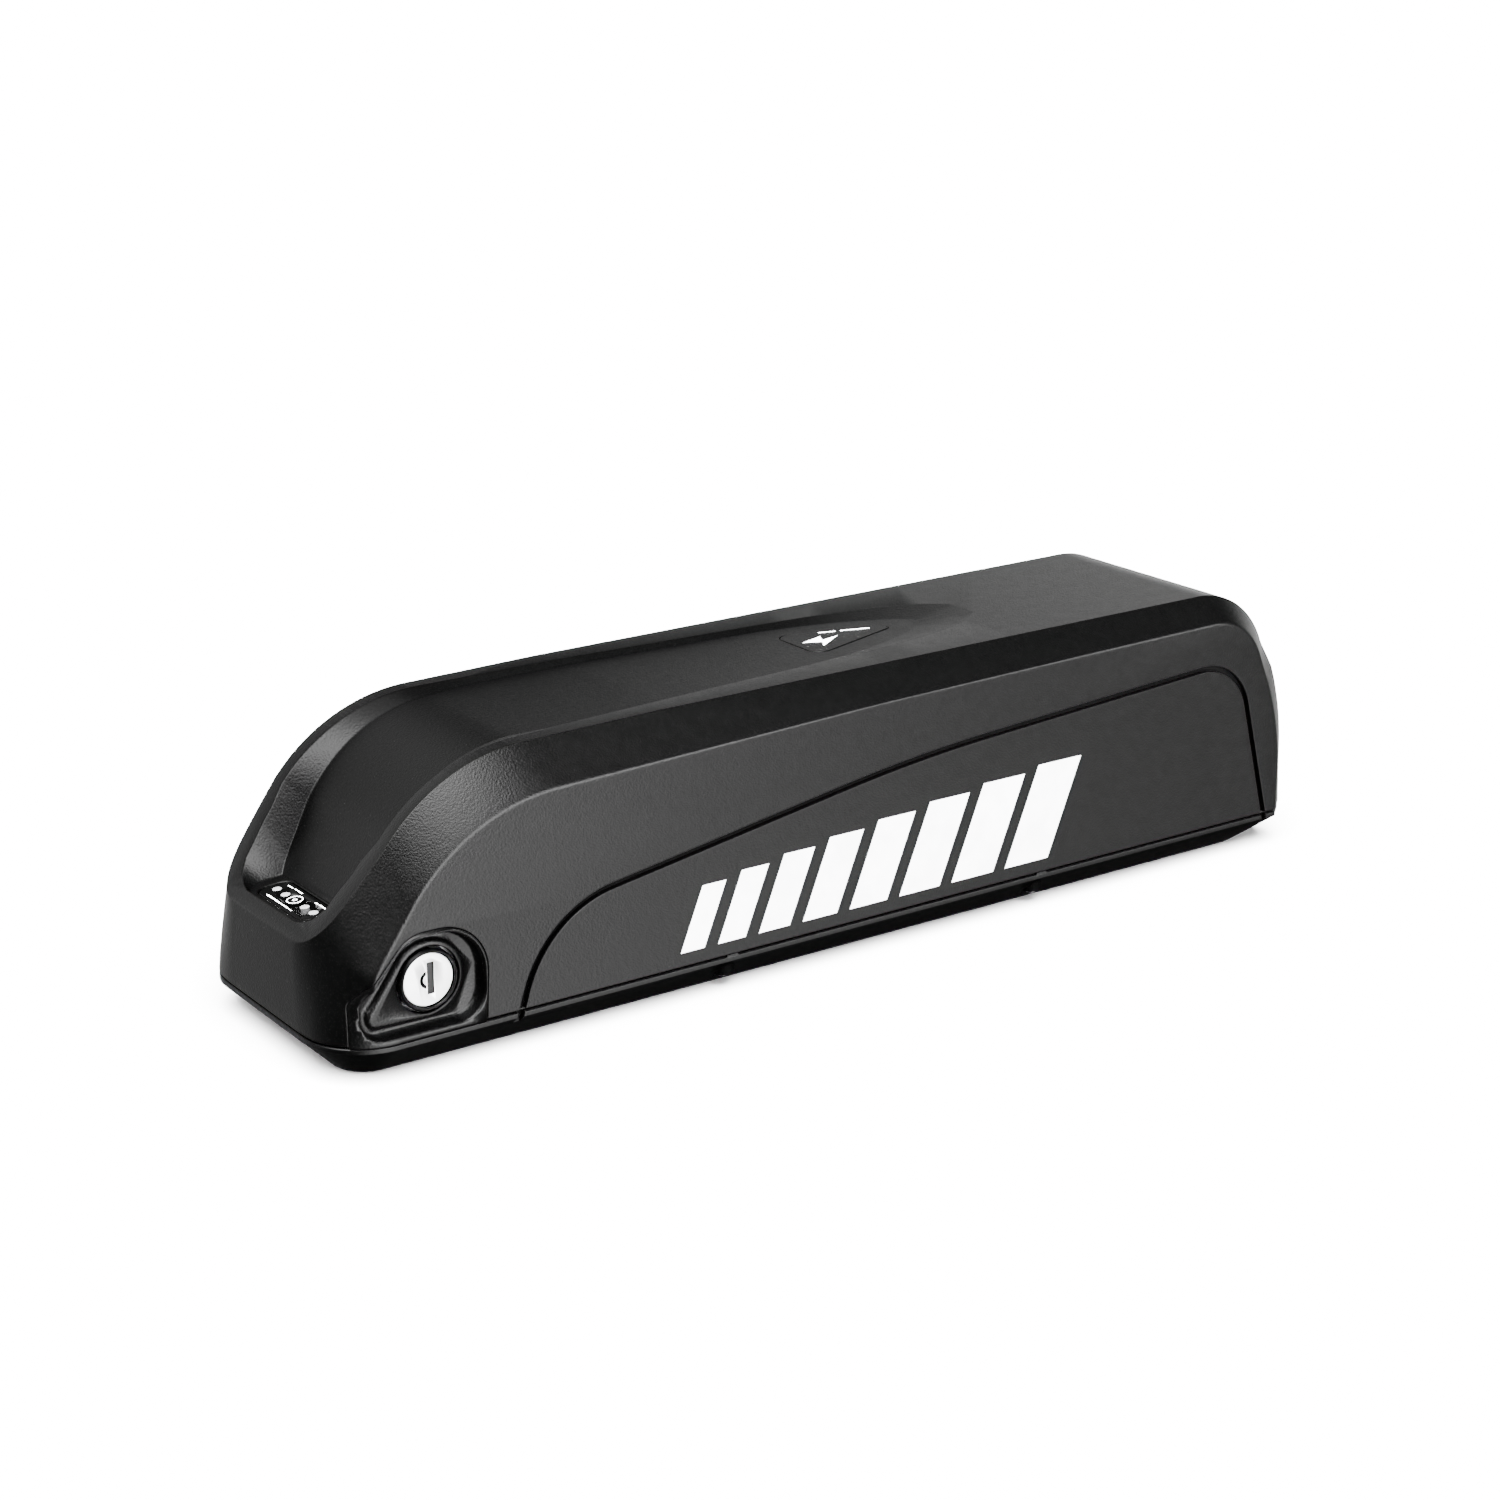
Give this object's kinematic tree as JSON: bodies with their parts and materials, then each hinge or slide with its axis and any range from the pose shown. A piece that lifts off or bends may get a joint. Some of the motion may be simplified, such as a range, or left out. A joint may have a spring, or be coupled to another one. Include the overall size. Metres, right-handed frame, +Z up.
{
  "type": "electric bicycle down-tube battery pack",
  "caption": "Wedge-nosed hard-case battery pack with scooped top, key lock, charge indicator, charge port, power switch and rail channel underneath.",
  "frame": {"origin": "centre of the bounding box in X and Y, at the underside", "axes": "+X from the nose to the tail, +Z up, the key lock is on the -Y side"},
  "size_m": [0.37, 0.09, 0.091],
  "materials": {
    "shell": "fine grained",
    "black_plastic": "satin",
    "rubber": "matt",
    "steel": "turned",
    "nickel": "rolled",
    "brass": "plated",
    "cell": "shrink sleeve",
    "holder": "matt",
    "board": "lacquered",
    "aluminium": "extruded",
    "red_lead": "satin",
    "foam": "foamed"
  },
  "bodies": {
    "case": {"upper_shell": "shell", "lower_shell": "shell", "shell_gasket": "rubber", "badge": "black_plastic", "indicator_overlay": "black_plastic", "indicator_board": "board", "lock_bezel": "shell", "lock_barrel": "black_plastic", "lock_nut": "steel", "port_bezel": "shell", "charge_socket": "black_plastic", "switch_body": "black_plastic", "discharge_connector": "black_plastic", "contact_negative": "brass", "contact_positive": "brass", "cell_holder_right": "holder", "cell_holder_left": "holder", "bms_board": "board", "bms_heatsink": "aluminium", "foam_pad": "foam", "lead_negative": "black_plastic", "lead_positive": "red_lead", "shell_screw_1": "steel", "shell_screw_2": "steel", "shell_screw_3": "steel", "shell_screw_4": "steel", "cell_group_01": "cell", "cell_group_02": "cell", "cell_group_03": "cell", "cell_group_04": "cell", "cell_group_05": "cell", "cell_group_06": "cell", "cell_group_07": "cell", "cell_group_08": "cell", "cell_group_09": "cell", "cell_group_10": "cell", "cell_group_11": "cell", "cell_group_12": "cell", "cell_group_13": "cell", "nickel_strip_right_1": "nickel", "nickel_strip_right_2": "nickel", "nickel_strip_right_3": "nickel", "nickel_strip_right_4": "nickel", "nickel_strip_right_5": "nickel", "nickel_strip_right_6": "nickel", "nickel_strip_right_7": "nickel", "nickel_strip_left_1": "nickel", "nickel_strip_left_2": "nickel", "nickel_strip_left_3": "nickel", "nickel_strip_left_4": "nickel", "nickel_strip_left_5": "nickel", "nickel_strip_left_6": "nickel", "nickel_strip_left_7": "nickel"},
    "key_cylinder": {"lock_cylinder": "steel"},
    "latch": {"latch_bolt": "steel"},
    "button": {"check_button": "black_plastic"},
    "rocker": {"switch_rocker": "black_plastic"},
    "port_cap": {"charge_cap": "rubber"}
  },
  "joints": [
    {"name": "lock_turn", "type": "hinge", "parent": "case", "child": "key_cylinder", "pos_m": [-0.1535, -0.042, 0.0273], "axis": [0, 1, 0], "range_deg": [0, 90]},
    {"name": "latch_slide", "type": "slide", "parent": "case", "child": "latch", "axis": [0, 0, -1], "range_m": [0, 0.0046]},
    {"name": "button_press", "type": "slide", "parent": "case", "child": "button", "axis": [0.0872, 0, -0.9962], "range_m": [0, 0.0005], "stiffness_N_per_m": 400},
    {"name": "rocker_tip", "type": "hinge", "parent": "case", "child": "rocker", "pos_m": [0.1805, 0, 0.029], "axis": [0, -1, 0], "range_deg": [0, 14]},
    {"name": "cap_swing", "type": "hinge", "parent": "case", "child": "port_cap", "pos_m": [-0.1535, 0.0436, 0.039], "axis": [1, 0, 0], "range_deg": [0, 110]}
  ],
  "couplings": [
    {"joint": "latch_slide", "follows": "lock_turn", "m_per_rad": 0.0028648}
  ]
}
